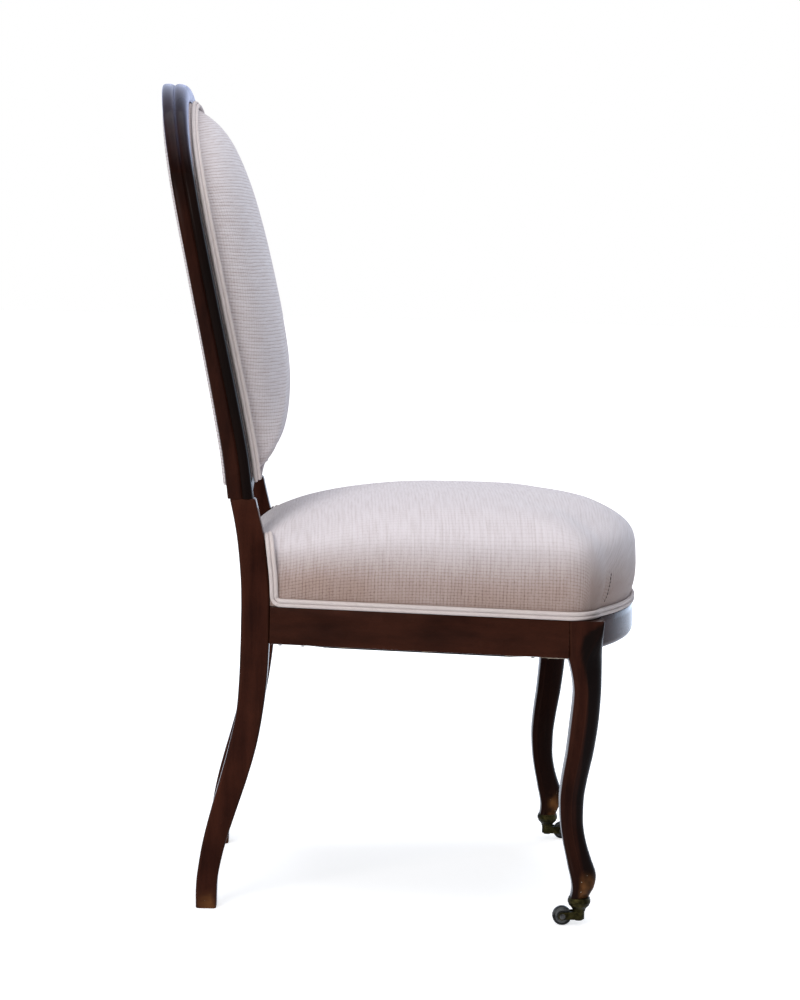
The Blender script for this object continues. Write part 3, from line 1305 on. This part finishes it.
def rowAlong(name, lines, spec, material):
    verts, edges = [], []
    for line in lines:
        start = len(verts)
        verts += [tuple(float(c) * mm for c in p) for p in line]
        edges += [(start + k, start + k + 1) for k in range(len(line) - 1)]
    base = bpy.data.meshes.new(name + "Line")
    base.from_pydata(verts, edges, [])
    return bakeTree(name, base, rowOfThings, {
        "Spacing": spec["spacing"] * mm, "Size": tuple(s * mm for s in spec["size"]), "Detail": spec["detail"],
        "Jitter": spec["jitter"]}, material)


tacks = {
    "spacing": 26, "size": (2.6, 2.6, 0.4), "detail": 2, "jitter": 0.08, "below": 3.6, "fromEnd": 12,
    "sideShare": 0.8, "backShare": 0.5, "fromPost": 10, "points": 12,
}


def tackLines():
    z, end, deep = railZ - tacks["below"], tacks["fromEnd"], chair["railDepth"]
    along = np.linspace(seatPostY - end, legBackY + end, tacks["points"])
    lines = [[(sign * (sideX(y) - deep * tacks["sideShare"]), y, z) for y in along] for sign in (1, -1)]
    reach, back = postInX - tacks["fromPost"], chair["backY"] - deep * tacks["backShare"]
    return lines + [[(x, back, z) for x in np.linspace(-reach, reach, tacks["points"])]]


rowAlong("bottomTacks", tackLines(), tacks, dullSteel)
print("tacks placed")

# frayed edge of the hessian under the right rail, by the front leg

frayed = {
    "spacing": 2.4, "size": (3.4, 0.45, 0.5), "detail": 1, "jitter": 0.55, "from": -158, "to": -187, "seed": 23,
    "in": 7, "rowIn": 2, "below": 0.5, "rowFrom": 5, "rows": 3, "points": 16, "aside": (-0.5, 0.5),
    "sag": (-0.7, 0.2),
}


def frayedLines():
    rng = np.random.default_rng(frayed["seed"])
    lines = []
    for k in range(frayed["rows"]):
        x, z = frayed["in"] + frayed["rowIn"] * k, railZ - frayed["below"] - frayed["below"] * k
        along = np.linspace(frayed["from"] - frayed["rowFrom"] * k, frayed["to"], frayed["points"])
        lines.append([(x - sideX(y) + rng.uniform(*frayed["aside"]), y, z + rng.uniform(*frayed["sag"]))
                      for y in along])
    return lines


rowAlong("frayedHessian", frayedLines(), frayed, juteThread)

# pleats at the front corners of the seat cover: the side laps over the front and is stitched down

pleat = {
    "low": (193, -233, 366), "high": (184, -237, 400), "steps": 18, "width": 12, "thick": 2.1, "sunk": 0.5,
    "taper": 4, "endsFrom": (0.3, 0.05), "length": 35, "weaveFrom": 1.7,
    "section": [(0, -1), (-0.02, 0.5), (0.03, 1), (0.3, 0.75), (0.6, 0.35), (0.9, 0), (1, -1)],
}
stitches = {"spacing": 4.2, "size": (1.7, 0.95, 0.8), "detail": 1, "jitter": 0.25, "in": 1.4, "over": 2.19}


def onCushion(p):
    _, place, normal, _ = seatCushion.closest_point_on_mesh(Vector(p) * mm)
    return np.array(place) / mm, np.array(normal)


def makePleats():
    low, high = np.array(pleat["low"]), np.array(pleat["high"])
    places = [onCushion(mix(low, high, k / pleat["steps"])) for k in range(pleat["steps"] + 1)]
    run = np.gradient(np.array([place for place, _ in places]), axis=0)
    rings, uv, seam = [], [], []
    for k, (place, normal) in enumerate(places):
        across = unit(np.cross(run[k], normal))
        across *= np.sign(across[1])
        up, down = k / pleat["steps"], 1 - k / pleat["steps"]
        end = min(1, pleat["taper"] * up + pleat["endsFrom"][0], pleat["taper"] * down + pleat["endsFrom"][1])
        ring = []
        for s, h in pleat["section"]:
            foot, out = onCushion(place + across * s * pleat["width"])
            ring.append(foot + out * (h * pleat["thick"] * end if h > 0 else h * pleat["sunk"]))
        rings.append(ring)
        seam.append(place + normal * stitches["over"] + across * stitches["in"])
        shares = [s for s, _ in pleat["section"]] + [0]
        uv.append([(pleat["length"] * up, s * pleat["width"] + pleat["weaveFrom"]) for s in shares])
    half = loftMesh("pleat", rings, uv, angle=50)
    height = (meshPoints(half)[:, 2] - seatBaseZ) / seat["rise"]
    storeValue(half, "soil", 1 - above(height, *seat["soilFrom"]))
    seam = np.array(seam[1:-1])
    both = joinMeshes("cornerPleats", [half, mirrored(half, "pleatOther")])
    addPiece("cornerPleats", both, coverCloth)
    rowAlong("pleatStitches", [seam, seam * [-1, 1, 1]], stitches, darkThread)


makePleats()
print("frayed edge and corner pleats done")

# floor, light and camera

stage = {
    "floor": (0.8, 0.8, 0.81, 1), "size": 30.0, "roughness": 0.9, "glow": (0.6, 1.0), "glowFrom": (0.9, 2.2),
    "white": (1, 1, 1, 1), "cool": (0.74, 0.83, 1, 1), "worldStrength": 0.3,
}


def raysOf(tree):  # 1 for rays seen straight, in gloss or through glass, and the tint that gloss sees
    straight = addNode(tree, "ShaderNodeLightPath", out="Is Camera Ray")
    gloss = straight.beside("Is Glossy Ray")
    seen = straight.math("MAXIMUM", gloss).math("MAXIMUM", straight.beside("Is Transmission Ray"))
    return seen, gloss.mixed(stage["white"], stage["cool"])


def makeFloor():
    mesh = bpy.data.meshes.new("floor")
    corners = [(x * stage["size"], y * stage["size"], 0) for x, y in ((-1, -1), (1, -1), (1, 1), (-1, 1))]
    mesh.from_pydata(corners, [], [(0, 1, 2, 3)])
    floor = addObject("floor", mesh)
    material, tree, shader = newMaterial("paleFloor")
    feed(shader, {"Base Color": stage["floor"], "Roughness": stage["roughness"]})
    seen, tint = raysOf(tree)
    far = addNode(tree, "ShaderNodeVectorMath", {0: objectPlace(tree)}, "Value", operation="LENGTH")
    fade = far.ranged(*stage["glowFrom"], *stage["glow"])
    glow = addNode(tree, "ShaderNodeEmission", {"Color": tint, "Strength": seen * fade})
    both = addNode(tree, "ShaderNodeAddShader", {0: Wire(shader.outputs[0]), 1: glow})
    feed(tree.nodes["Material Output"], {"Surface": both})
    mesh.materials.append(material)


def makeWorld():
    scene.world = bpy.data.worlds.new("studio")
    scene.world.use_nodes = True
    tree = scene.world.node_tree
    seen, tint = raysOf(tree)
    least = stage["worldStrength"]
    feed(tree.nodes["Background"], {"Color": tint, "Strength": seen.math("MULTIPLY_ADD", 1.0 - least, least)})


lamps = {
    "keySoftbox": {"place": (-2.6, 1.5, 1.5), "aim": (0, 0, 0.45), "size": (1.5, 1.2), "power": 52,
                   "colour": (1, 0.97, 0.94)},
    "topPanel": {"place": (-0.3, -0.1, 3.0), "aim": (0, 0, 0.4), "size": (2.2, 2.2), "power": 58,
                 "colour": (0.92, 0.95, 1)},
    "farWindow": {"place": (2.3, -1.6, 0.8), "aim": (0, -0.1, 0.5), "size": (1.8, 1.6), "power": 26,
                  "colour": (0.6, 0.76, 1)},
}


def makeLamps():
    for name, spec in lamps.items():
        data = bpy.data.lights.new(name, "AREA")
        data.shape = "RECTANGLE"
        data.size, data.size_y = spec["size"]
        data.energy = spec["power"]
        data.color = spec["colour"]
        lamp = addObject(name, data)
        lamp.visible_camera = False
        place = Vector(spec["place"])
        turn = (Vector(spec["aim"]) - place).to_track_quat("-Z", "Y")
        lamp.matrix_world = Matrix.Translation(place) @ turn.to_matrix().to_4x4()


shot = {
    "place": (-3.00481, 0.07975, 0.74403), "forward": (0.99521986, -0.02683096, -0.09390167),
    "roll": 0.0247465, "lens": 90.228, "sensor": 36,
}


def makeCamera():
    data = bpy.data.cameras.new("camera")
    data.lens = shot["lens"]
    data.sensor_width = shot["sensor"]
    camera = addObject("camera", data)
    forward = Vector(shot["forward"]).normalized()
    level = forward.cross(Vector((0, 0, 1))).normalized()
    upright = level.cross(forward)
    c, s = math.cos(shot["roll"]), math.sin(shot["roll"])
    right, up = c * level + s * upright, -s * level + c * upright
    turn = Matrix((right, up, -forward)).transposed().to_4x4()
    camera.matrix_world = Matrix.Translation(Vector(shot["place"])) @ turn
    scene.camera = camera


makeFloor()
makeWorld()
makeLamps()
makeCamera()
scene.view_settings.view_transform = "Standard"
print("stage, lamps and camera set")
